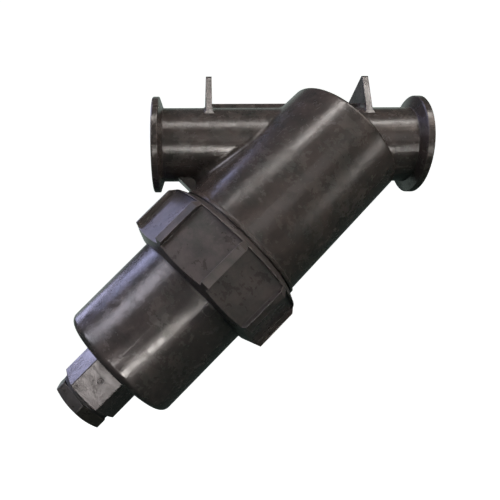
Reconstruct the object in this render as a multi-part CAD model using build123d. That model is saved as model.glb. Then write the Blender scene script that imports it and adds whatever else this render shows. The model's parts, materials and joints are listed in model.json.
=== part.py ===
from build123d import *
import os
from math import cos, pi, radians, sin

# Y-pattern line strainer, in millimetres. The run pipe lies along X and the origin is the centre of the inlet
# flange's face, with +X leaving the inlet. The branch leaves the run towards -X and down, and every station on
# it is a distance down the branch axis from where that axis crosses the run axis.

# Run pipe and clamp flanges
inlet_reach = 69.0
outlet_reach = 161.0
run_outside_r = 31.75
run_bore_r = 25.4
bore_land = 20.0
bore_draft = 0.8
flange_r = 41.3
flange_rim = 5.8
flange_back = 3.1
flange_edge = 0.8
flange_back_edge = 0.5

# Branch
branch_angle = 45.0
barrel_top = -8.5
barrel_top_r = 56.8
barrel_foot = 121.5
barrel_foot_r = 59.6
barrel_edge = 3.0
bead_r = 61.4
bead_depth = 3.2
bead_bevel = 0.8
junction_r = 6.5
end_junction_r = 3.0
spigot_r = 59.0
spigot_end = 157.0
spigot_bevel = 1.0
cavity_r = 51.2
cavity_top = 6.5
inlet_pocket_r = 37.0
inlet_pocket_top = -3.0
screen_socket_r = 41.6
screen_socket_top = 1.0
inlet_bore_depth = 18.5
outlet_bore_depth = 38.0

# Lugs and webs
lug_thickness = 5.0
outlet_lug_x = -112.7
inlet_lug_x = 22.4
lug_root_y = -25.7
lug_root_z = 18.0
lug_front_y = -16.8
lug_front_z = 56.9
lug_rear_y = 38.0
lug_rear_z = 45.9
lug_knee_z = 33.0
lug_foot_y = 26.5
lug_corner = 3.0
lug_flare = 2.8
lug_hole_r = 5.25
lug_hole_y = 28.0
lug_hole_z = 38.0
top_rib_height = 5.2
top_rib_thickness = 6.0
gusset_thickness = 13.0
gusset_station = 120.5
sunk = 3.0

# Ring nut
nut_top = 126.3
nut_bore_r = 61.9
nut_rib_reach = 74.4
nut_side_reach = 71.2
nut_panel_reach = 66.2
nut_shoulder_r = 70.3
nut_shoulder = 130.8
nut_shoulder_end = 136.0
nut_foot = 174.3
nut_lip_r = 58.8
nut_lip_end = 180.2
nut_lip_bore_r = 56.2
nut_shelf = 168.6
nut_sides = 9
nut_turn = 5.6
nut_panel_width = 43.5
nut_band = 5.4
nut_corner = 0.5
nut_cut_depth = 20.0
slip_ring_thickness = 1.5
slip_ring_clearance = 0.7
running_gap = 0.3

# Bowl
bowl_flange_r = 61.2
bowl_lip_r = 50.8
bowl_lip = 4.0
bowl_top_r = 55.2
bowl_end_r = 55.0
bowl_end = 269.5
bowl_edge = 6.5
bowl_inside_r = 48.6
bowl_inside_end_r = 47.6
bowl_floor = 7.0
seal_inner_r = 52.6
seal_outer_r = 57.4
seal_groove = 2.2
socket_r = 41.6
socket_wall = 2.6
socket_height = 13.0
socket_slots = 6
socket_slot_width = 12.0
socket_slot_foot = 3.0
gate_pad_width = 9.0
gate_pad_start = 176.0
gate_pad_end = 188.5
gate_pad_height = 0.6
gate_pad_corner = 3.0
gate_pad_turn = 23.0

# Hexagonal boss and drain plug
boss_corner_r = 28.3
boss_turn = 31.0
boss_end = 303.5
boss_bevel = 1.0
gate_dimple_r = 2.3
gate_dimple_nub_r = 0.9
gate_dimple_depth = 0.4
gate_dimple_station = 284.0
hexagon_corner = 0.9
drain_bore_r = 21.6
plug_corner_r = 26.4
plug_turn = 9.8
plug_head = 9.6
plug_bevel = 1.4
plug_shank_r = 19.7
plug_shank_end_bevel = 1.2
plug_shank = 24.0
plug_hollow_r = 15.0
plug_hollow_floor = 6.0
plug_seal_r = 24.0
plug_seal_bore_r = 21.4
plug_seal_thickness = 2.4

# Screen
screen_seal_thickness = 1.8
screen_end_gap = 1.0
screen_outer_r = 41.2
screen_bore_r = 36.8
collar_height = 12.0
cage_outer_r = 40.2
cage_inner_r = 38.0
foot_collar_height = 11.0
stave_count = 8
stave_width = 5.0
hoop_count = 6
hoop_height = 3.2
mesh_outer_r = 37.9
mesh_inner_r = 37.4

run_length = inlet_reach + outlet_reach
slope = radians(branch_angle)
down_branch = Vector(-cos(slope), 0, -sin(slope))
branch = Plane(origin=(-inlet_reach, 0, 0), x_dir=(0, -1, 0), z_dir=down_branch)


def turned(*outline):
    """Turn a closed outline of (radius, station) points about the Z axis."""
    return revolve(make_face(Plane.XZ * Polyline(*outline, close=True)), Axis.Z)


def disc(radius, start, end):
    """A round bar about Z between two stations."""
    return Pos(0, 0, (start + end) / 2) * Cylinder(radius, end - start)


def tube(outer, inner, start, end):
    return disc(outer, start, end) - disc(inner, start - 1, end + 1)


def hexagon(corner_r, turn, start, end):
    """A hexagonal bar about Z with rounded corners, the first of them at the given turn."""
    sharp = RegularPolygon(corner_r, 6)
    face = Rot(Z=-turn) * fillet(sharp.vertices(), hexagon_corner)
    return extrude(Pos(0, 0, start) * face, end - start)


def bevelled_hexagon(corner_r, turn, start, end, bevel):
    """A hexagonal bar whose outer end has its corners cut back by a shallow cone."""
    flat_r = corner_r * cos(pi / 6)
    cone = turned((0, start), (corner_r + 1, start), (corner_r + 1, end - bevel), (flat_r, end), (0, end))
    return hexagon(corner_r, turn, start, end) & cone


def on_branch(shape):
    return branch.location * shape


def along_run(shape):
    return Rot(Y=90) * shape


def run_pipe():
    """The run pipe with a flange at each end, whose back is the shallow cone that a clamp rides on."""
    outlet, inlet = -run_length, 0
    outline = [
        (0, outlet),
        (flange_r - flange_edge, outlet),
        (flange_r, outlet + flange_edge),
        (flange_r, outlet + flange_rim - flange_back_edge),
        (flange_r - flange_back_edge, outlet + flange_rim),
        (run_outside_r, outlet + flange_rim + flange_back),
        (run_outside_r, inlet - flange_rim - flange_back),
        (flange_r - flange_back_edge, inlet - flange_rim),
        (flange_r, inlet - flange_rim + flange_back_edge),
        (flange_r, inlet - flange_edge),
        (flange_r - flange_edge, inlet),
        (0, inlet),
    ]
    return along_run(turned(*outline))


def lug_profile():
    """A lug from the side: its front edge leans back, its top falls rearwards and its foot is in the pipe."""
    outline = [
        (0, 0),
        (lug_root_y, lug_root_z),
        (lug_front_y, lug_front_z),
        (lug_rear_y, lug_rear_z),
        (lug_rear_y, lug_knee_z),
        (lug_foot_y, lug_root_z),
    ]
    face = make_face(Polyline(*outline, close=True))
    face = fillet(face.vertices().sort_by(Axis.Y)[-2:], lug_corner)
    return face - Pos(lug_hole_y, lug_hole_z) * Circle(lug_hole_r)


def lug(x):
    """A mounting lug across the run, flared on both sides where it stands on the pipe and cut flat in front."""
    half = lug_thickness / 2
    reach = half + lug_flare
    stub = along_run(disc(run_outside_r, x - 2 * reach, x + 2 * reach))
    plate = Pos(x, 0, 0) * Box(lug_thickness, 4 * run_outside_r, 4 * lug_front_z)
    blended = stub + plate
    roots = [edge for edge in blended.edges() if edge.geom_type == GeomType.CIRCLE
             and abs(abs(edge.center().X - x) - half) < half / 2]
    blended = fillet(roots, lug_flare)
    return blended & Pos(x, 0, 0) * extrude(Plane.YZ * lug_profile(), reach, both=True)


def top_rib(start, end):
    """The low rib along the top of the run between the lugs."""
    height = run_outside_r + top_rib_height
    depth = top_rib_height + sunk
    bar = Box(end - start, top_rib_thickness, depth, align=(Align.MIN, Align.CENTER, Align.MAX))
    return Pos(start, 0, height) * bar


def crotch_gusset():
    """The web that fills the crotch between the run and the barrel, cut off square to the branch."""
    inside_pipe = run_outside_r - sunk
    pipe_cut = (gusset_station - inside_pipe * sin(slope)) / cos(slope)
    barrel_across = -(barrel_foot_r - sunk)
    foot_x = -gusset_station * cos(slope) + barrel_across * sin(slope)
    foot_z = -gusset_station * sin(slope) - barrel_across * cos(slope)
    crotch_z = -inside_pipe
    crotch_x = crotch_z + barrel_across / cos(slope)
    outline = [(-pipe_cut, -inside_pipe), (foot_x, foot_z), (crotch_x, crotch_z)]
    face = make_face(Plane.XZ * Polyline(*outline, close=True))
    return Pos(-inlet_reach, 0, 0) * extrude(face, gusset_thickness / 2, both=True)


def barrel():
    """The barrel, its bead above the nut and the spigot that carries the nut's thread."""
    foot = barrel_foot + bead_depth
    outline = [
        (0, barrel_top),
        (barrel_top_r, barrel_top),
        (barrel_foot_r, barrel_foot),
        (bead_r, barrel_foot + bead_bevel),
        (bead_r, foot),
        (spigot_r, foot),
        (spigot_r, spigot_end - spigot_bevel),
        (spigot_r - spigot_bevel, spigot_end),
        (0, spigot_end),
    ]
    solid = turned(*outline)
    top_edge = solid.edges().sort_by(Axis.Z)[0]
    return on_branch(fillet(top_edge, barrel_edge))


def bore(mouth, end):
    """A bore along the run: a straight land at its mouth, then the draft that lets the core be pulled."""
    inward = 1 if end > mouth else -1
    outline = [
        (0, mouth - inward),
        (run_bore_r, mouth - inward),
        (run_bore_r, mouth + inward * bore_land),
        (run_bore_r - bore_draft, end),
        (0, end),
    ]
    return along_run(turned(*outline))


def waterways():
    """Everything cored out of the body: both bores, the inlet pocket, the screen's socket and the cavity."""
    inlet_bore = bore(0, -inlet_reach - inlet_bore_depth)
    outlet_bore = bore(-run_length, -inlet_reach - outlet_bore_depth)
    stepped = turned(
        (0, inlet_pocket_top),
        (inlet_pocket_r, inlet_pocket_top),
        (inlet_pocket_r, screen_socket_top),
        (screen_socket_r, screen_socket_top),
        (screen_socket_r, cavity_top),
        (cavity_r, cavity_top),
        (cavity_r, spigot_end + 1),
        (0, spigot_end + 1),
    )
    return [inlet_bore, outlet_bore, on_branch(stepped)]


def run_with_barrel():
    """The run and the barrel, blended where the pipe enters the barrel's side and where it leaves its end."""
    joined = run_pipe() + barrel()
    side_joint = joined.edges().filter_by(GeomType.BSPLINE)
    end_middle = joined.edges().filter_by(GeomType.ELLIPSE)[0].center()
    joined = fillet(side_joint, junction_r)
    end_joint = [edge for edge in joined.edges() if (edge.center() - end_middle).length < end_junction_r]
    return fillet(end_joint, end_junction_r)


def strainer_body():
    body = run_with_barrel()
    body += lug(outlet_lug_x - inlet_reach)
    body += lug(inlet_lug_x - inlet_reach)
    body += top_rib(outlet_lug_x - inlet_reach, inlet_lug_x - inlet_reach)
    body += crotch_gusset()
    for hollow in waterways():
        body -= hollow
    return body


def nut_section(panelled):
    """The nut's outline across the branch: a nine-sided figure with cut corners and sunk sides between its ribs."""
    face = RegularPolygon(nut_side_reach, nut_sides, major_radius=False)
    corner_cut = RegularPolygon(nut_rib_reach, nut_sides, major_radius=False, rotation=180 / nut_sides)
    if panelled:
        for side in range(nut_sides):
            panel = Pos(nut_panel_reach + nut_cut_depth / 2, 0) * Rectangle(nut_cut_depth, nut_panel_width)
            face -= Rot(Z=(side + 0.5) * 360 / nut_sides) * panel
    return Rot(Z=-nut_turn) * (fillet(face.vertices(), nut_corner) & corner_cut)


def ring_nut():
    """The nine-sided union nut: flush ribs at its corners, sunk panels between them and a conical lip."""
    corner_r = nut_side_reach / cos(pi / nut_sides) + 1
    turned_form = turned(
        (nut_bore_r, nut_top),
        (nut_shoulder_r, nut_shoulder),
        (nut_rib_reach, nut_shoulder_end),
        (corner_r, nut_shoulder_end),
        (corner_r, nut_foot),
        (nut_rib_reach, nut_foot),
        (nut_lip_r, nut_lip_end),
        (nut_lip_bore_r, nut_lip_end),
        (nut_lip_bore_r, nut_shelf),
        (nut_bore_r, nut_shelf),
    )
    panel_top = nut_top + nut_band
    band = extrude(Pos(0, 0, nut_top) * nut_section(False), nut_band)
    ribbed = extrude(Pos(0, 0, panel_top) * nut_section(True), nut_lip_end - panel_top)
    return on_branch(turned_form & (band + ribbed))


def slip_ring():
    top = nut_shelf - running_gap - slip_ring_thickness
    return on_branch(tube(nut_bore_r - slip_ring_clearance, nut_lip_bore_r, top, top + slip_ring_thickness))


bowl_face = spigot_end + running_gap
bowl_flange_foot = nut_shelf - 2 * running_gap - slip_ring_thickness
screen_top = screen_socket_top + running_gap + screen_seal_thickness
screen_end = bowl_end - bowl_floor - screen_end_gap
cage_top = screen_top + collar_height
cage_end = screen_end - foot_collar_height
hexagon_root = bowl_end - bowl_edge


def strainer_bowl():
    """The bowl with its flange, the slotted socket for the screen's foot, and the hexagonal drain boss."""
    shell = turned(
        (0, bowl_face),
        (bowl_flange_r, bowl_face),
        (bowl_flange_r, bowl_flange_foot),
        (bowl_top_r, bowl_flange_foot),
        (bowl_end_r, bowl_end),
        (0, bowl_end),
    )
    shell = fillet(shell.edges().sort_by(Axis.Z)[-1], bowl_edge)
    shell += disc(bowl_lip_r, bowl_face - bowl_lip, bowl_face + 1)
    shell += bevelled_hexagon(boss_corner_r, boss_turn, hexagon_root, boss_end, boss_bevel)
    shell += gate_pad()
    shell -= gate_dimple()
    shell -= turned(
        (0, bowl_face - bowl_lip - 1),
        (bowl_inside_r, bowl_face - bowl_lip - 1),
        (bowl_inside_end_r, bowl_end - bowl_floor),
        (0, bowl_end - bowl_floor),
    )
    shell += screen_socket()
    shell -= disc(drain_bore_r, bowl_end - bowl_floor - 1, boss_end + 1)
    shell -= tube(seal_outer_r, seal_inner_r, bowl_face - running_gap, bowl_face + seal_groove)
    return on_branch(shell)


def gate_pad():
    """The low pad that the runner left on the bowl's front, just below the nut."""
    middle = (gate_pad_start + gate_pad_end) / 2
    length = gate_pad_end - gate_pad_start
    face = fillet(Rectangle(length, gate_pad_width).vertices(), gate_pad_corner)
    bar = Plane(origin=(bowl_top_r - sunk, 0, middle), x_dir=(0, 0, 1), z_dir=(1, 0, 0)) * face
    pad = extrude(bar, 2 * sunk) & disc(bowl_top_r + gate_pad_height, gate_pad_start, gate_pad_end)
    return Rot(Z=-gate_pad_turn) * pad


def gate_dimple():
    """The shallow round mark of the gate on the boss's front side."""
    flat_r = boss_corner_r * cos(pi / 6)
    depth = 2 * gate_dimple_depth
    mark = Cylinder(gate_dimple_r, depth) - Cylinder(gate_dimple_nub_r, depth)
    return Rot(Z=30 - boss_turn) * Pos(flat_r, 0, gate_dimple_station) * Rot(Y=90) * mark


def screen_socket():
    """The ring on the bowl's floor that centres the screen, slotted so that dirt can be flushed out."""
    floor = bowl_end - bowl_floor
    ring = tube(socket_r + socket_wall, socket_r, floor - socket_height, floor + 1)
    for slot in range(socket_slots):
        cutter = Box(4 * socket_wall, socket_slot_width, 2 * (socket_height - socket_slot_foot))
        cutter = Pos(socket_r, 0, floor - socket_height) * cutter
        ring -= Rot(Z=slot * 360 / socket_slots) * cutter
    return ring


def bowl_seal():
    """The ring that lies in the groove of the bowl's flange."""
    return on_branch(tube(seal_outer_r, seal_inner_r, bowl_face, bowl_face + seal_groove))


def drain_plug():
    """A hexagonal head on a threaded shank that is hollow from its inner end."""
    head_start = boss_end + plug_seal_thickness + 2 * running_gap
    head_end = head_start + plug_head
    plug = bevelled_hexagon(plug_corner_r, plug_turn, head_start, head_end, plug_bevel)
    tip = head_start - plug_shank
    plug += turned(
        (0, tip),
        (plug_shank_r - plug_shank_end_bevel, tip),
        (plug_shank_r, tip + plug_shank_end_bevel),
        (plug_shank_r, head_start + 1),
        (0, head_start + 1),
    )
    plug -= disc(plug_hollow_r, tip - 1, head_end - plug_hollow_floor)
    return on_branch(plug)


def plug_seal():
    start = boss_end + running_gap
    return on_branch(tube(plug_seal_r, plug_seal_bore_r, start, start + plug_seal_thickness))


def screen_collar():
    """The screen's upper ring, which the bowl holds up against its seat in the body."""
    return on_branch(tube(screen_outer_r, screen_bore_r, screen_top, cage_top))


def screen_foot():
    """The screen's lower ring, which stands in the bowl's slotted socket."""
    return on_branch(tube(screen_outer_r, screen_bore_r, cage_end, screen_end))


def screen_cage():
    """The moulded cage between the screen's two rings: staves and hoops, with open windows between them."""
    cage = tube(cage_outer_r, cage_inner_r, cage_top, cage_end)
    first = cage_top + hoop_height
    pitch = (cage_end - first) / (hoop_count + 1)
    bay = 360 / stave_count
    window_width = 2 * cage_inner_r * sin(pi / stave_count) - stave_width
    window = Box(3 * cage_outer_r, window_width, pitch - hoop_height)
    for level in range(hoop_count + 1):
        middle = first + (level + 0.5) * pitch - hoop_height / 2
        for stave in range(stave_count // 2):
            cage -= Rot(Z=(stave + 0.5) * bay) * Pos(0, 0, middle) * window
    return on_branch(cage)


def screen_mesh():
    """The woven cylinder inside the cage, between the two rings."""
    return on_branch(tube(mesh_outer_r, mesh_inner_r, cage_top, cage_end))


def screen_seal():
    """The flat ring between the screen's upper ring and its seat."""
    return on_branch(tube(screen_outer_r, inlet_pocket_r, screen_top - screen_seal_thickness, screen_top))


parts = {
    "strainer_body": strainer_body,
    "ring_nut": ring_nut,
    "slip_ring": slip_ring,
    "strainer_bowl": strainer_bowl,
    "bowl_seal": bowl_seal,
    "drain_plug": drain_plug,
    "plug_seal": plug_seal,
    "screen_collar": screen_collar,
    "screen_cage": screen_cage,
    "screen_foot": screen_foot,
    "screen_mesh": screen_mesh,
    "screen_seal": screen_seal,
}

os.makedirs("parts", exist_ok=True)
for name, make in parts.items():
    export_step(make(), f"parts/{name}.step")
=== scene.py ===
import json
from collections import namedtuple
from math import atan2, cos, pi, radians, sin, tau

import bpy
from bpy.props import FloatProperty, FloatVectorProperty, IntProperty, PointerProperty
from mathutils import Matrix, Vector


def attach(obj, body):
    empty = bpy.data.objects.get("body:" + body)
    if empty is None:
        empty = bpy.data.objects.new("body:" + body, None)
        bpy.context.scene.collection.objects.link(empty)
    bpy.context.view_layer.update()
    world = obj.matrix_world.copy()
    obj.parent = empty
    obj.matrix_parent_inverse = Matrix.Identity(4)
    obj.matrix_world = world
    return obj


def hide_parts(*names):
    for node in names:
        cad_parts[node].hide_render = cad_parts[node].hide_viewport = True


bl_info = {
    "name": "Line Strainer",
    "version": (1, 0, 0),
    "blender": (4, 5, 0),
    "location": "3D View > Sidebar > Strainer",
    "description": "Finishes, threads, wire cloth and studio for a Y-pattern line strainer",
    "category": "Object",
}

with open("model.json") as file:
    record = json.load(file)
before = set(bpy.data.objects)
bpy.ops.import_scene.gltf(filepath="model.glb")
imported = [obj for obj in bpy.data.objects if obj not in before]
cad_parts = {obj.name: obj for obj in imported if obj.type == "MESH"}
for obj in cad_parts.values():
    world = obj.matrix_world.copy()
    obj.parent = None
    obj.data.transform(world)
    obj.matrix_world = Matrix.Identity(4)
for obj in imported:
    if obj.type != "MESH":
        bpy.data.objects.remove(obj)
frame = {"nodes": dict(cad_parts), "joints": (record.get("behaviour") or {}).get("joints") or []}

MM = 0.001
nut_joint = next(joint for joint in frame["joints"] if joint["name"] == "nut_turn")
crossing = Vector(nut_joint["pos_m"])
down = Vector(nut_joint["axis"]).normalized()
front = Vector((0, -1, 0))
# Local Z runs down the branch from its crossing with the run, and local X points to the front
branch = Matrix.Translation(crossing) @ Matrix((front, down.cross(front), down)).transposed().to_4x4()
branch_slope = atan2(-down.z, -down.x)


def length_setting(name, description, value):
    """A length setting, with its starting value in millimetres."""
    return FloatProperty(name=name, description=description, default=value * MM, unit="LENGTH")


def angle_setting(name, description, value):
    """An angle setting, with its starting value in degrees."""
    return FloatProperty(name=name, description=description, default=radians(value), unit="ROTATION")


def colour_setting(name, description, value):
    """A colour setting, with its starting value as red, green and blue."""
    return FloatVectorProperty(name=name, description=description, default=value, subtype="COLOR")


class StageSettings(bpy.types.PropertyGroup):
    camera_place: FloatVectorProperty(
        name="Camera place", description="Where the camera stands", subtype="TRANSLATION",
        default=(-193.7 * MM, -433.8 * MM, -148.7 * MM))
    camera_pitch: angle_setting("Pitch", "How far the camera looks up", 6.47)
    camera_yaw: angle_setting("Yaw", "How far the camera looks to the right", -0.12)
    camera_roll: angle_setting("Roll", "How far the camera leans to the right", 0.2)
    lens: FloatProperty(
        name="Lens", description="Focal length for a 36 mm wide picture", default=36.41, min=10, max=200)
    lens_shift: FloatVectorProperty(
        name="Lens shift", description="How far the picture is off the lens's axis, in picture widths",
        size=2, default=(0.111, 0.014))
    floor_drop: length_setting("Floor drop", "Height of the floor below the run's axis", 560)
    cove_radius: length_setting("Cove radius", "Radius of the round backdrop", 4000)
    cove_sweep: length_setting("Cove sweep", "Radius of the curve between floor and wall", 1200)
    wall_height: length_setting("Wall height", "Height of the backdrop's wall", 7000)
    paper: colour_setting("Paper", "Colour of floor and backdrop", (0.90, 0.91, 0.90))
    paper_glow: FloatProperty(
        name="Paper glow", description="How much light floor and backdrop give of themselves", default=1.1)
    room: colour_setting("Room", "Dim greenish light from all round", (0.042, 0.058, 0.052))


class PlasticSettings(bpy.types.PropertyGroup):
    body: colour_setting("Body", "Colour of the body's plastic", (0.040, 0.032, 0.030))
    nut: colour_setting("Nut", "Colour of the nut's plastic", (0.050, 0.042, 0.042))
    bowl: colour_setting("Bowl", "Colour of the bowl's plastic", (0.040, 0.033, 0.033))
    plug: colour_setting("Plug", "Colour of the plug's plastic", (0.026, 0.023, 0.020))
    cage: colour_setting("Cage", "Colour of the screen's plastic rings and cage", (0.016, 0.016, 0.017))
    dull: colour_setting("Patches", "Colour of dull patches on body, nut and bowl", (0.020, 0.025, 0.021))
    plug_dull: colour_setting("Plug's patches", "Colour of dull patches on the plug", (0.008, 0.009, 0.009))
    cage_dull: colour_setting("Cage's patches", "Colour of dull patches on the cage", (0.010, 0.011, 0.011))


class ThreadSettings(bpy.types.PropertyGroup):
    nut_pitch: length_setting("Nut pitch", "Travel of the nut in one turn", 6.35)
    spigot_root: length_setting("Spigot root", "Radius of the spigot's plain wall", 59.0)
    spigot_crest: length_setting("Spigot crest", "Radius over the spigot's thread", 61.2)
    spigot_start: length_setting("Spigot start", "Station where the spigot's thread starts", 130.0)
    spigot_end: length_setting("Spigot end", "Station by which the spigot's thread ends", 156.0)
    nut_root: length_setting("Nut root", "Radius of the nut's bore", 61.9)
    nut_crest: length_setting("Nut crest", "Radius inside the nut's thread", 59.7)
    nut_start: length_setting("Nut start", "Station where the nut's thread starts", 133.2)
    nut_end: length_setting("Nut end", "Station by which the nut's thread ends", 165.0)
    plug_pitch: length_setting("Plug pitch", "Travel of the plug in one turn", 2.309)
    plug_root: length_setting("Plug root", "Radius of the plug's shank", 19.7)
    plug_crest: length_setting("Plug crest", "Radius over the plug's thread", 20.85)
    plug_start: length_setting("Plug start", "Station where the plug's thread starts", 284.5)
    plug_end: length_setting("Plug end", "Station by which the plug's thread ends", 303.5)
    boss_root: length_setting("Boss root", "Radius of the drain boss's bore", 21.6)
    boss_crest: length_setting("Boss crest", "Radius inside the boss's thread", 20.45)
    boss_start: length_setting("Boss start", "Station where the boss's thread starts", 278.4)
    boss_end: length_setting("Boss end", "Station by which the boss's thread ends", 302.5)
    root_share: FloatProperty(
        name="Root share", description="Width of the ridge at its root, in pitches", default=0.46)
    crest_share: FloatProperty(
        name="Crest share", description="Width of the ridge at its crest, in pitches", default=0.2)
    corner_share: FloatProperty(
        name="Corner share", description="Bevel of the ridge's corners, in pitches", default=0.08)
    run_out: FloatProperty(
        name="Run-out", description="Part of a turn over which the ridge grows or dies", default=0.22)
    bury: length_setting("Bury", "How far the ridge's root is sunk into the wall", 0.25)
    nut_facets: IntProperty(
        name="Nut facets", description="Facets in a turn of the nut's thread", default=128, min=16, max=256)
    plug_facets: IntProperty(
        name="Plug facets", description="Facets in a turn of the plug's thread", default=64, min=16, max=256)


class ClothSettings(bpy.types.PropertyGroup):
    wires: IntProperty(
        name="Wires", description="Wires round the screen, an even number", default=144, min=8, max=200)
    radius: length_setting("Radius", "Middle radius of the wire cloth", 37.65)
    wire: length_setting("Wire", "Diameter of one wire", 0.26)
    press: length_setting("Press", "How far crossing wires are pressed into each other", 0.02)
    top: length_setting("Top", "Station of the cloth's upper end", 15.3)
    foot: length_setting("Foot", "Station of the cloth's lower end", 250.3)


class StrainerSettings(bpy.types.PropertyGroup):
    stage: PointerProperty(type=StageSettings)
    plastic: PointerProperty(type=PlasticSettings)
    thread: PointerProperty(type=ThreadSettings)
    cloth: PointerProperty(type=ClothSettings)


def deselect():
    bpy.ops.object.select_all(action="DESELECT")


def pick(piece):
    """Make one object the selected and active one."""
    deselect()
    piece.select_set(True)
    bpy.context.view_layer.objects.active = piece


def settle(piece, name, place, body, material):
    """Put the piece's place into its mesh and hand it to the body that carries it."""
    piece.name = name
    piece.data.name = name
    piece.data.transform(place @ piece.matrix_world)
    piece.matrix_world = Matrix.Identity(4)
    piece.data.materials.clear()
    piece.data.materials.append(material)
    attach(piece, body)


def smooth(piece, angle):
    """Shade a piece smooth, except at edges sharper than the angle."""
    pick(piece)
    bpy.ops.object.shade_smooth_by_angle(angle=angle)


# Shader node groups

def new_group(name, inputs, outputs):
    """An empty shader node group with float, colour or vector sockets and their defaults."""
    group = bpy.data.node_groups.new(name, "ShaderNodeTree")
    for title, kind, default in inputs:
        socket = group.interface.new_socket(title, in_out="INPUT", socket_type=f"NodeSocket{kind}")
        if default is not None:
            socket.default_value = default
    for title, kind in outputs:
        group.interface.new_socket(title, in_out="OUTPUT", socket_type=f"NodeSocket{kind}")
    return group, group.nodes.new("NodeGroupInput"), group.nodes.new("NodeGroupOutput")


def add(tree, kind, **values):
    """A node of that kind, with its settings and its unlinked inputs given by name."""
    node = tree.nodes.new(f"ShaderNode{kind}")
    for key, value in values.items():
        if hasattr(node, key):
            setattr(node, key, value)
        else:
            node.inputs[key.replace("_", " ")].default_value = value
    return node


def feed(tree, value, socket):
    """Link a socket to the value, or set it where the value is a number or a vector."""
    if isinstance(value, bpy.types.NodeSocket):
        tree.links.new(value, socket)
    else:
        socket.default_value = value


def math_node(tree, operation, first, second=0.0, third=0.0):
    """A Math node whose inputs are sockets or numbers, and its result."""
    node = add(tree, "Math", operation=operation)
    for socket, value in zip(node.inputs, (first, second, third)):
        feed(tree, value, socket)
    return node.outputs[0]


def spread(tree, value, low, high, out_low=0.0, out_high=1.0):
    """Map a value from low..high to out_low..out_high with soft ends."""
    node = add(
        tree, "MapRange", interpolation_type="SMOOTHSTEP",
        From_Min=low, From_Max=high, To_Min=out_low, To_Max=out_high)
    tree.links.new(value, node.inputs["Value"])
    return node.outputs["Result"]


def mix_colour(tree, mask, first, second):
    """The first colour where the mask is nought and the second where it is one."""
    node = add(tree, "Mix", data_type="RGBA")
    tree.links.new(mask, node.inputs[0])
    for socket, value in ((node.inputs[6], first), (node.inputs[7], second)):
        feed(tree, value if isinstance(value, bpy.types.NodeSocket) else (*value, 1.0), socket)
    return node.outputs[2]


def noise(tree, place, scale, detail=2.0, roughness=0.5, distortion=0.0):
    """A noise that varies over the place, between nought and one."""
    node = add(tree, "TexNoise", Detail=detail, Roughness=roughness, Distortion=distortion)
    tree.links.new(place, node.inputs["Vector"])
    feed(tree, scale, node.inputs["Scale"])
    return node.outputs["Fac"]


def flow_marks_group():
    """Long faint streaks that the melt leaves along a moulding."""
    group, enter, leave = new_group(
        "flow_marks",
        [("Place", "Vector", None), ("Turn", "Vector", (0, 0, 0)), ("Grain", "Vector", (20, 400, 400))],
        [("Streak", "Float"), ("Fine", "Float")])
    mapping = add(group, "Mapping", vector_type="POINT")
    turned = add(group, "VectorRotate", rotation_type="EULER_XYZ")
    group.links.new(enter.outputs["Place"], turned.inputs["Vector"])
    group.links.new(enter.outputs["Turn"], turned.inputs["Rotation"])
    group.links.new(turned.outputs[0], mapping.inputs["Vector"])
    group.links.new(enter.outputs["Grain"], mapping.inputs["Scale"])
    coarse = noise(group, mapping.outputs[0], 1.0, detail=3.0, roughness=0.55, distortion=0.3)
    fine = noise(group, mapping.outputs[0], 4.3, detail=2.0, roughness=0.6)
    group.links.new(spread(group, coarse, 0.35, 0.7), leave.inputs["Streak"])
    group.links.new(spread(group, fine, 0.35, 0.7), leave.inputs["Fine"])
    return group


def mottle_group():
    """Patches of another tone, small dark smudges and a pale bloom, and the grain of the skin."""
    group, enter, leave = new_group(
        "mottle",
        [("Place", "Vector", None), ("Patch size", "Float", 0.03), ("Smudge size", "Float", 0.006)],
        [("Patch", "Float"), ("Smudge", "Float"), ("Bloom", "Float"), ("Grain", "Float")])
    place = enter.outputs["Place"]
    patch_scale = math_node(group, "DIVIDE", 1.0, enter.outputs["Patch size"])
    smudge_scale = math_node(group, "DIVIDE", 1.0, enter.outputs["Smudge size"])
    patch = noise(group, place, patch_scale, detail=3.0, roughness=0.6, distortion=0.6)
    smudge = noise(group, place, smudge_scale, detail=4.0, roughness=0.65)
    bloom = noise(group, place, 85.0, detail=6.0, roughness=0.72, distortion=0.3)
    grain = noise(group, place, 650.0, detail=2.0, roughness=0.6)
    group.links.new(spread(group, patch, 0.30, 0.72), leave.inputs["Patch"])
    group.links.new(spread(group, smudge, 0.50, 0.82), leave.inputs["Smudge"])
    group.links.new(spread(group, bloom, 0.36, 0.72), leave.inputs["Bloom"])
    group.links.new(grain, leave.inputs["Grain"])
    return group


def scuffs_group():
    """Sparse fine scratches in two directions and pale specks of dust."""
    group, enter, leave = new_group(
        "scuffs",
        [("Place", "Vector", None), ("Amount", "Float", 0.5)],
        [("Scratch", "Float"), ("Speck", "Float")])
    lines = []
    for turn, seed in ((0.7, 3.1), (2.3, 9.4)):
        mapping = add(
            group, "Mapping", Rotation=(0.4 * seed, turn, 0.3), Scale=(30, 900, 160), Location=(seed, 0, 0))
        group.links.new(enter.outputs["Place"], mapping.inputs["Vector"])
        field = noise(group, mapping.outputs[0], 1.0, detail=1.0, roughness=0.4, distortion=0.8)
        lines.append(spread(group, field, 0.74, 0.80))
    both = math_node(group, "MAXIMUM", *lines)
    group.links.new(math_node(group, "MULTIPLY", both, enter.outputs["Amount"]), leave.inputs["Scratch"])
    specks = noise(group, enter.outputs["Place"], 900.0, detail=0.0)
    speck = spread(group, specks, 0.80, 0.86)
    group.links.new(math_node(group, "MULTIPLY", speck, enter.outputs["Amount"]), leave.inputs["Speck"])
    return group


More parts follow.
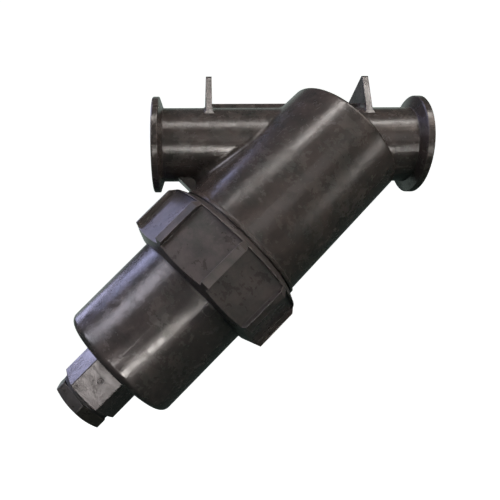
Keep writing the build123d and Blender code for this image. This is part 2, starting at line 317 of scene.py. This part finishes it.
def edge_wear_and_shade_group():
    """Edges rounded and painted paler, partly as edge wear and partly as a painted highlight on the rounds,
    and painted shade darkening inner corners.
    """
    group, enter, leave = new_group(
        "edge_wear_and_shade",
        [("Edge radius", "Float", 0.8 * MM), ("Corner reach", "Float", 3.5 * MM)],
        [("Edge", "Float"), ("Painted shade", "Float"), ("Normal", "Vector")])
    rounded = add(group, "Bevel", samples=8)
    group.links.new(enter.outputs["Edge radius"], rounded.inputs["Radius"])
    flat = group.nodes.new("ShaderNodeNewGeometry")
    # Edge mask: edges are painted paler, partly as edge wear and partly as a painted highlight along the
    # small rounds
    lean = add(group, "VectorMath", operation="DOT_PRODUCT")
    group.links.new(rounded.outputs["Normal"], lean.inputs[0])
    group.links.new(flat.outputs["Normal"], lean.inputs[1])
    group.links.new(spread(group, lean.outputs["Value"], 0.90, 0.99, 1.0, 0.0), leave.inputs["Edge"])
    # Painted shade: ambient occlusion darkens inner corners, creases and gaps where shade falls
    corner = add(group, "AmbientOcclusion", samples=8)
    group.links.new(enter.outputs["Corner reach"], corner.inputs["Distance"])
    group.links.new(spread(group, corner.outputs["AO"], 0.45, 0.95, 1.0, 0.0), leave.inputs["Painted shade"])
    group.links.new(rounded.outputs["Normal"], leave.inputs["Normal"])
    return group


def use_group(tree, group, place=None, **values):
    """A node that places a group in a material, with its unlinked inputs given by name."""
    node = tree.nodes.new("ShaderNodeGroup")
    node.node_tree = group
    if place:
        tree.links.new(place, node.inputs["Place"])
    for title, value in values.items():
        node.inputs[title.replace("_", " ")].default_value = value
    return node


def new_material(name):
    """A new material, its node tree and its shader."""
    material = bpy.data.materials.new(name)
    material.use_nodes = True
    shader = material.node_tree.nodes["Principled BSDF"]
    return material, material.node_tree, shader


def barrel_mask(tree, place):
    """One on the barrel and nought on the run pipe, so that the streaks follow each one's own axis."""
    away = add(tree, "VectorMath", operation="SUBTRACT")
    tree.links.new(place, away.inputs[0])
    away.inputs[1].default_value = crossing
    along = add(tree, "VectorMath", operation="DOT_PRODUCT")
    tree.links.new(away.outputs[0], along.inputs[0])
    along.inputs[1].default_value = down
    shaft = add(tree, "VectorMath", operation="SCALE")
    shaft.inputs[0].default_value = down
    tree.links.new(along.outputs["Value"], shaft.inputs["Scale"])
    across = add(tree, "VectorMath", operation="SUBTRACT")
    tree.links.new(away.outputs[0], across.inputs[0])
    tree.links.new(shaft.outputs[0], across.inputs[1])
    radius = add(tree, "VectorMath", operation="LENGTH")
    tree.links.new(across.outputs[0], radius.inputs[0])
    # Both limits are soft: one lies just outside the barrel's wall, the other at its top end
    wall, clear_of_wall = 62.5 * MM, 64.0 * MM
    above_top, top = -9.5 * MM, -8.0 * MM
    inside = spread(tree, radius.outputs["Value"], wall, clear_of_wall, 1.0, 0.0)
    below = spread(tree, along.outputs["Value"], above_top, top)
    return math_node(tree, "MULTIPLY", inside, below)


def flow_streaks(tree, place, groups, follows_run):
    """The coarse and fine streaks along the branch, or on the run pipe along the run."""
    grain = (14, 260, 260)
    along_branch = use_group(tree, groups["flow_marks"], place, Turn=(0, -branch_slope, 0), Grain=grain)
    if not follows_run:
        return along_branch.outputs["Streak"], along_branch.outputs["Fine"]
    along_run = use_group(tree, groups["flow_marks"], place, Turn=(0, 0, 0), Grain=grain)
    mask = barrel_mask(tree, place)
    mixed = []
    for title in ("Streak", "Fine"):
        node = add(tree, "Mix", data_type="FLOAT")
        tree.links.new(mask, node.inputs[0])
        tree.links.new(along_run.outputs[title], node.inputs[2])
        tree.links.new(along_branch.outputs[title], node.inputs[3])
        mixed.append(node.outputs[0])
    return mixed


def add_shares(tree, value, layers):
    """The value, raised or lowered by each mask times its share."""
    for mask, share in layers:
        value = math_node(tree, "MULTIPLY_ADD", mask, share, value)
    return value


def plastic_tone(tree, base, dull, streak, spots, worn, edges_and_shade):
    """The base colour under patches, bloom, streaks, smudges, scratches, dust, edges paler from wear and
    painted highlight, and painted corner shade.
    """
    pale = [2.3 * c * tint for c, tint in zip(base, (1.0, 0.96, 0.90))]
    bright = [1.55 * c for c in base]
    dark = [0.45 * c for c in base]
    # Paler edge colour: partly edge wear, partly a painted highlight
    worn_and_highlit_edge = [4.5 * c for c in base]
    scratched = (0.16, 0.15, 0.14)
    dust = (0.22, 0.21, 0.19)
    # Mask, its share, and the colour that it lays over those before
    layers = (
        (spots.outputs["Patch"], 0.75, dull),
        (spots.outputs["Bloom"], 0.65, pale),
        (streak, 0.45, bright),
        (spots.outputs["Smudge"], 0.6, dark),
        (worn.outputs["Scratch"], 0.5, scratched),
        (worn.outputs["Speck"], 0.5, dust),
        # Paler edges: partly edge wear, partly a painted highlight along the small rounds
        (edges_and_shade.outputs["Edge"], 0.8, worn_and_highlit_edge),
        # Painted shade darkens inner corners, creases and gaps
        (edges_and_shade.outputs["Painted shade"], 0.85, dark),
    )
    tone = base
    for mask, share, over in layers:
        tone = mix_colour(tree, math_node(tree, "MULTIPLY", mask, share), tone, over)
    return tone


def moulded_plastic(name, groups, base, dull, roughness, patch_size, follows_run):
    """Satin filled plastic with the traces of moulding and wear, edges paler from wear and painted
    highlight, painted shade in inner corners, and a fine skin.
    """
    material, tree, shader = new_material(name)
    place = add(tree, "TexCoord").outputs["Object"]
    streak, fine = flow_streaks(tree, place, groups, follows_run)
    spots = use_group(tree, groups["mottle"], place, Patch_size=patch_size, Smudge_size=0.007)
    worn = use_group(tree, groups["scuffs"], place, Amount=0.5)
    edges_and_shade = use_group(tree, groups["edge_wear_and_shade"])
    tree.links.new(plastic_tone(tree, base, dull, streak, spots, worn, edges_and_shade), shader.inputs["Base Color"])
    gloss = add_shares(tree, roughness - 0.08, (
        (spots.outputs["Patch"], 0.10),
        (spots.outputs["Bloom"], 0.09),
        (streak, -0.06),
        (spots.outputs["Smudge"], 0.15),
        (worn.outputs["Scratch"], 0.20),
        # The painted shade mask also makes inner corners rougher
        (edges_and_shade.outputs["Painted shade"], 0.25),
    ))
    tree.links.new(gloss, shader.inputs["Roughness"])
    height = add_shares(tree, math_node(tree, "MULTIPLY", spots.outputs["Grain"], 0.8), (
        (fine, 0.5),
        (worn.outputs["Scratch"], -0.6),
        (spots.outputs["Bloom"], 1.8),
    ))
    bump = add(tree, "Bump", Strength=0.35, Distance=0.08 * MM)
    tree.links.new(edges_and_shade.outputs["Normal"], bump.inputs["Normal"])
    tree.links.new(height, bump.inputs["Height"])
    tree.links.new(bump.outputs["Normal"], shader.inputs["Normal"])
    shader.inputs["IOR"].default_value = 1.5
    shader.inputs["Specular IOR Level"].default_value = 0.6
    return material


def spotted_material(name, groups, patch_size, smudge_size):
    """A new material, its node tree, its shader and the outputs of the mottle placed in it."""
    material, tree, shader = new_material(name)
    place = add(tree, "TexCoord").outputs["Object"]
    spots = use_group(tree, groups["mottle"], place, Patch_size=patch_size, Smudge_size=smudge_size)
    return material, tree, shader, spots.outputs


def plain_rubber(groups):
    """Matt black rubber, a little greyer in patches."""
    material, tree, shader, spots = spotted_material("nitrile_rubber", groups, 0.01, 0.002)
    tone = mix_colour(tree, spots["Patch"], (0.010, 0.010, 0.010), (0.018, 0.018, 0.017))
    tree.links.new(tone, shader.inputs["Base Color"])
    tree.links.new(math_node(tree, "MULTIPLY_ADD", spots["Patch"], 0.12, 0.55), shader.inputs["Roughness"])
    bump = add(tree, "Bump", Strength=0.3, Distance=0.05 * MM)
    tree.links.new(spots["Grain"], bump.inputs["Height"])
    tree.links.new(bump.outputs["Normal"], shader.inputs["Normal"])
    return material


def natural_acetal(groups):
    """Smooth off-white acetal, a little yellower in patches."""
    material, tree, shader, spots = spotted_material("natural_acetal", groups, 0.02, 0.003)
    tone = mix_colour(tree, spots["Patch"], (0.72, 0.70, 0.64), (0.62, 0.60, 0.54))
    tree.links.new(tone, shader.inputs["Base Color"])
    tree.links.new(math_node(tree, "MULTIPLY_ADD", spots["Patch"], 0.1, 0.3), shader.inputs["Roughness"])
    return material


def drawn_steel(groups):
    """Stainless wire with darker patches and brown smudges."""
    material, tree, shader, spots = spotted_material("stainless_wire", groups, 0.015, 0.004)
    tone = mix_colour(tree, spots["Patch"], (0.62, 0.61, 0.58), (0.46, 0.45, 0.42))
    tone = mix_colour(tree, math_node(tree, "MULTIPLY", spots["Smudge"], 0.5), tone, (0.24, 0.20, 0.15))
    tree.links.new(tone, shader.inputs["Base Color"])
    tree.links.new(math_node(tree, "MULTIPLY_ADD", spots["Smudge"], 0.2, 0.28), shader.inputs["Roughness"])
    shader.inputs["Metallic"].default_value = 1.0
    return material


materials = {}


def thread_ridge(size, pitch, facets, root, crest, start, end):
    """A helical ridge about local Z from its root radius to its crest, run out at both ends."""
    outward = 1 if crest > root else -1
    sunk = root - outward * size.bury
    turns = int((end - start) / pitch)
    deselect()
    bpy.ops.mesh.primitive_plane_add(
        size=1, location=((sunk + crest) / 2, 0, start), rotation=(pi / 2, 0, 0))
    piece = bpy.context.object
    piece.scale = (abs(crest - sunk), size.root_share * pitch, 1)
    bpy.ops.object.transform_apply(location=True, rotation=True, scale=True)
    tip = max(outward * v.co.x for v in piece.data.vertices)
    for vertex in piece.data.vertices:
        vertex.select = abs(outward * vertex.co.x - tip) < 0.01 * MM
    bpy.ops.object.mode_set(mode="EDIT")
    bpy.ops.mesh.select_mode(type="VERT")
    bpy.ops.transform.resize(value=(1, 1, size.crest_share / size.root_share))
    bpy.ops.mesh.bevel(offset=size.corner_share * pitch, affect="VERTICES", segments=1)
    bpy.ops.object.mode_set(mode="OBJECT")
    screw = piece.modifiers.new("thread", "SCREW")
    screw.axis = "Z"
    screw.angle = tau
    screw.screw_offset = pitch
    screw.iterations = turns
    screw.steps = screw.render_steps = facets
    bpy.ops.object.modifier_apply(modifier=screw.name)
    for vertex in piece.data.vertices:
        fade = thread_fade(vertex.co, start, pitch, turns, size.run_out)
        radius = vertex.co.xy.length
        vertex.co.xy *= (sunk + (radius - sunk) * fade) / radius
    bpy.ops.object.mode_set(mode="EDIT")
    bpy.ops.mesh.select_all(action="DESELECT")
    bpy.ops.mesh.select_non_manifold()
    bpy.ops.mesh.edge_face_add()
    bpy.ops.mesh.select_all(action="SELECT")
    bpy.ops.mesh.normals_make_consistent(inside=False)
    bpy.ops.object.mode_set(mode="OBJECT")
    smooth(piece, radians(35))
    return piece


def thread_fade(point, start, pitch, turns, run_out):
    """How high the ridge stands at a point, from nought at its two ends to one past the run-out."""
    turn = atan2(point.y, point.x) / tau % 1.0
    along = turn + round((point.z - start) / pitch - turn)
    near_end = max(0.0, min(1.0, along / run_out, (turns - along) / run_out))
    return near_end * near_end * (3 - 2 * near_end)


class STRAINER_OT_plastics(bpy.types.Operator):
    """Finish every moulded and turned piece with its own plastic, rubber or steel"""
    bl_idname = "strainer.plastics"
    bl_label = "Finish the Pieces"

    def execute(self, context):
        colours = context.scene.strainer.plastic
        groups = {
            "flow_marks": flow_marks_group(), "mottle": mottle_group(), "scuffs": scuffs_group(),
            "edge_wear_and_shade": edge_wear_and_shade_group(),
        }
        # Name, colour, colour of the dull patches, roughness, size of the patches in metres
        plastics = (
            ("body", colours.body, colours.dull, 0.27, 0.03),
            ("nut", colours.nut, colours.dull, 0.34, 0.02),
            ("bowl", colours.bowl, colours.dull, 0.25, 0.03),
            ("plug", colours.plug, colours.plug_dull, 0.36, 0.03),
            ("cage", colours.cage, colours.cage_dull, 0.36, 0.03),
        )
        for name, base, dull, roughness, patch_size in plastics:
            materials[name] = moulded_plastic(
                f"{name}_plastic", groups, tuple(base), tuple(dull), roughness, patch_size,
                follows_run=(name == "body"))
        materials["rubber"] = plain_rubber(groups)
        materials["acetal"] = natural_acetal(groups)
        materials["steel"] = drawn_steel(groups)
        finishes = {
            "strainer_body": "body", "ring_nut": "nut", "strainer_bowl": "bowl", "drain_plug": "plug",
            "slip_ring": "acetal", "screen_mesh": "steel",
            "screen_collar": "cage", "screen_cage": "cage", "screen_foot": "cage",
            "bowl_seal": "rubber", "plug_seal": "rubber", "screen_seal": "rubber",
        }
        for node, finish in finishes.items():
            part = frame["nodes"][node]
            part.data.materials.clear()
            part.data.materials.append(materials[finish])
        return {"FINISHED"}


class STRAINER_OT_threads(bpy.types.Operator):
    """Add the threads of spigot, nut, plug and drain boss"""
    bl_idname = "strainer.threads"
    bl_label = "Cut the Threads"

    def execute(self, context):
        size = context.scene.strainer.thread
        # Name, body and finish, pitch, facets in a turn, root and crest radius, first and last station
        ridges = (
            ("spigot_thread", "body", size.nut_pitch, size.nut_facets,
             size.spigot_root, size.spigot_crest, size.spigot_start, size.spigot_end),
            ("nut_thread", "nut", size.nut_pitch, size.nut_facets,
             size.nut_root, size.nut_crest, size.nut_start, size.nut_end),
            ("plug_thread", "plug", size.plug_pitch, size.plug_facets,
             size.plug_root, size.plug_crest, size.plug_start, size.plug_end),
            ("boss_thread", "bowl", size.plug_pitch, size.plug_facets,
             size.boss_root, size.boss_crest, size.boss_start, size.boss_end),
        )
        for name, body, pitch, facets, *reach in ridges:
            ridge = thread_ridge(size, pitch, facets, *reach)
            settle(ridge, name, branch, body, materials[body])
        return {"FINISHED"}


def wire(name, points, thickness, closed):
    """A thin wire through the given points, as a mesh."""
    curve = bpy.data.curves.new(name, "CURVE")
    curve.dimensions = "3D"
    spline = curve.splines.new("POLY")
    spline.points.add(len(points) - 1)
    for place, point in zip(spline.points, points):
        place.co = (*point, 1)
    spline.use_cyclic_u = closed
    curve.bevel_depth = thickness / 2
    curve.bevel_resolution = 0
    curve.use_fill_caps = True
    piece = bpy.data.objects.new(name, curve)
    bpy.context.collection.objects.link(piece)
    pick(piece)
    bpy.ops.object.convert(target="MESH")
    return bpy.context.object


def repeat(piece, count, turn, shift):
    """Repeat a piece, each copy turned about Z and shifted along it from the last."""
    guide = bpy.data.objects.new("guide", None)
    bpy.context.collection.objects.link(guide)
    guide.matrix_world = Matrix.Translation((0, 0, shift)) @ Matrix.Rotation(turn, 4, "Z")
    bpy.context.view_layer.update()
    pick(piece)
    array = piece.modifiers.new("repeat", "ARRAY")
    array.use_relative_offset = False
    array.use_object_offset = True
    array.offset_object = guide
    array.count = count
    bpy.ops.object.modifier_apply(modifier=array.name)
    bpy.data.objects.remove(guide)


class STRAINER_OT_cloth(bpy.types.Operator):
    """Weave the screen's wire cloth"""
    bl_idname = "strainer.cloth"
    bl_label = "Weave the Cloth"

    def execute(self, context):
        size = context.scene.strainer.cloth
        count = size.wires
        step = tau / count
        swing = (size.wire - size.press) / 2
        pitch = step * size.radius
        rows = int((size.foot - size.top - size.wire) / pitch)
        first = (size.foot + size.top - (rows - 1) * pitch) / 2
        # At each crossing one wire swings outwards and the other inwards, by turns
        ring = []
        for index in range(count):
            radius = size.radius + swing * (-1) ** index
            ring.append((radius * cos(index * step), radius * sin(index * step), first))
        hoops = wire("screen_weft", ring, size.wire, True)
        repeat(hoops, rows, step, pitch)
        strands = []
        for index in range(2):
            points = [(size.radius, size.top)]
            for row in range(rows):
                points.append((size.radius - swing * (-1) ** (row + index), first + row * pitch))
            points.append((size.radius, size.foot))
            line = [(r * cos(index * step), r * sin(index * step), z) for r, z in points]
            strands.append(wire("screen_warp", line, size.wire, False))
        deselect()
        for strand in strands:
            strand.select_set(True)
        bpy.context.view_layer.objects.active = strands[0]
        bpy.ops.object.join()
        uprights = bpy.context.object
        repeat(uprights, count // 2, 2 * step, 0.0)
        for piece, name in ((hoops, "screen_weft"), (uprights, "screen_warp")):
            settle(piece, name, branch, "screen", materials["steel"])
            smooth(piece, radians(60))
            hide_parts("screen_mesh")
        return {"FINISHED"}


# A lamp is a soft rectangle aimed at a station on the branch, which is in mm. Azimuth runs from the front
# towards +X. Angles are in degrees, distance, width and height in metres, and power is in watts.
Lamp = namedtuple("Lamp", "name station azimuth elevation distance width height power spread colour")
LAMPS = (
    Lamp("tube_left", 60, -27, 46, 1.2, 0.40, 0.05, 1.0, 180, (1.0, 0.95, 0.90)),
    Lamp("tube_right", 0, 14, 49, 1.2, 1.00, 0.09, 6.0, 180, (1.0, 0.94, 0.90)),
    Lamp("low_strip", 20, 9, -29, 1.2, 0.80, 0.06, 0.34, 34, (1.0, 0.94, 0.89)),
    Lamp("window", 90, -105, 46, 1.2, 0.44, 0.58, 5.0, 180, (0.60, 0.62, 1.0)),
    Lamp("window_low", 270, -128, 28, 1.2, 0.34, 0.34, 1.6, 180, (0.66, 0.66, 1.0)),
    Lamp("left_wall", 150, -50, 33, 1.2, 0.45, 0.40, 3.6, 180, (0.92, 0.88, 1.0)),
    Lamp("side_window", 90, -72, 18, 1.2, 0.30, 0.30, 2.0, 180, (0.90, 0.88, 1.0)),
    Lamp("fill", 90, 45, 32, 1.2, 0.40, 0.40, 2.8, 180, (1.0, 0.86, 0.78)),
    Lamp("front_wall", 60, 12, 6, 1.3, 0.70, 0.44, 1.1, 180, (1.0, 0.93, 0.90)),
    Lamp("right_low", -40, 58, -14, 1.2, 0.30, 0.40, 1.0, 180, (1.0, 0.95, 0.90)),
    Lamp("rear_window", 120, 168, 42, 1.6, 1.1, 0.9, 1.2, 180, (0.86, 1.0, 0.93)),
    Lamp("rear_low", 120, 205, 5, 1.6, 0.9, 0.9, 1.0, 180, (0.86, 1.0, 0.93)),
    Lamp("boss_front", 290, -10, -6, 0.7, 0.12, 0.12, 0.007, 16, (1.0, 0.92, 0.90)),
)


def hang(lamp):
    """Put a lamp in its place, turned towards its target."""
    light = bpy.data.lights.new(lamp.name, "AREA")
    light.shape = "RECTANGLE"
    light.size = lamp.width
    light.size_y = lamp.height
    light.energy = lamp.power
    light.spread = radians(lamp.spread)
    light.color = lamp.colour
    holder = bpy.data.objects.new(lamp.name, light)
    bpy.context.collection.objects.link(holder)
    target = crossing + lamp.station * MM * down
    turn = Matrix.Rotation(radians(lamp.azimuth), 3, "Z") @ Matrix.Rotation(-radians(lamp.elevation), 3, "X")
    holder.location = target + lamp.distance * (turn @ front)
    holder.rotation_euler = (target - holder.location).to_track_quat("-Z", "Y").to_euler()


class STRAINER_OT_stage(bpy.types.Operator):
    """Set up the pale round cove, the lights and the camera"""
    bl_idname = "strainer.stage"
    bl_label = "Set the Stage"

    def execute(self, context):
        settings = context.scene.strainer.stage
        self.make_cove(settings)
        self.make_lights(context, settings)
        self.make_camera(context, settings)
        return {"FINISHED"}

    def make_cove(self, settings):
        """A round floor whose rim sweeps up into a tall wall, all in one pale tone."""
        deselect()
        bpy.ops.mesh.primitive_circle_add(
            vertices=96, radius=settings.cove_radius, fill_type="NGON",
            location=(crossing.x, 0, -settings.floor_drop))
        cove = bpy.context.object
        cove.name = "cove"
        bpy.ops.object.mode_set(mode="EDIT")
        bpy.ops.mesh.select_mode(type="EDGE")
        bpy.ops.mesh.select_all(action="DESELECT")
        bpy.ops.mesh.select_non_manifold()
        bpy.ops.mesh.extrude_region_move(TRANSFORM_OT_translate={"value": (0, 0, settings.wall_height)})
        bpy.ops.object.mode_set(mode="OBJECT")
        bevel = cove.modifiers.new("sweep", "BEVEL")
        bevel.width = settings.cove_sweep
        bevel.segments = 12
        bevel.limit_method = "ANGLE"
        bevel.angle_limit = radians(60)
        bpy.ops.object.modifier_apply(modifier=bevel.name)
        smooth(cove, radians(60))
        material, tree, shader = new_material("pale_paper")
        shader.inputs["Base Color"].default_value = (*settings.paper, 1)
        shader.inputs["Roughness"].default_value = 0.9
        shader.inputs["Emission Color"].default_value = (*settings.paper, 1)
        shader.inputs["Emission Strength"].default_value = settings.paper_glow
        cove.data.materials.append(material)
        cove.visible_glossy = False
        cove.visible_diffuse = False

    def make_lights(self, context, settings):
        """The lamps, and the dim light of the room all round."""
        for lamp in LAMPS:
            hang(lamp)
        world = bpy.data.worlds.new("room")
        world.use_nodes = True
        world.node_tree.nodes["Background"].inputs["Color"].default_value = (*settings.room, 1)
        context.scene.world = world
        context.scene.view_settings.view_transform = "Standard"

    def make_camera(self, context, settings):
        """The camera, turned from looking down to looking along +Y, and then by its own angles."""
        camera = bpy.data.cameras.new("camera")
        camera.sensor_width = 36
        camera.lens = settings.lens
        camera.shift_x, camera.shift_y = settings.lens_shift
        camera.clip_start = 0.01
        camera.clip_end = 50
        holder = bpy.data.objects.new("camera", camera)
        bpy.context.collection.objects.link(holder)
        aim = Matrix.Rotation(-settings.camera_yaw, 4, "Z")
        aim = aim @ Matrix.Rotation(pi / 2 + settings.camera_pitch, 4, "X")
        aim = aim @ Matrix.Rotation(-settings.camera_roll, 4, "Z")
        holder.matrix_world = Matrix.Translation(settings.camera_place) @ aim
        context.scene.camera = holder


class STRAINER_PT_panel(bpy.types.Panel):
    """Buttons for the stage and for each group of pieces"""
    bl_label = "Line Strainer"
    bl_idname = "STRAINER_PT_panel"
    bl_space_type = "VIEW_3D"
    bl_region_type = "UI"
    bl_category = "Strainer"

    def draw(self, context):
        for operator in operators:
            self.layout.operator(operator.bl_idname)


operators = (STRAINER_OT_plastics, STRAINER_OT_threads, STRAINER_OT_cloth, STRAINER_OT_stage)
classes = (
    StageSettings, PlasticSettings, ThreadSettings, ClothSettings, StrainerSettings,
    *operators, STRAINER_PT_panel,
)


def register():
    for kind in classes:
        bpy.utils.register_class(kind)
    bpy.types.Scene.strainer = PointerProperty(type=StrainerSettings)


def unregister():
    del bpy.types.Scene.strainer
    for kind in reversed(classes):
        bpy.utils.unregister_class(kind)


def main():
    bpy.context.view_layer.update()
    register()
    bpy.ops.strainer.plastics()
    bpy.ops.strainer.threads()
    bpy.ops.strainer.cloth()
    bpy.ops.strainer.stage()


if __name__ == "__main__":
    main()
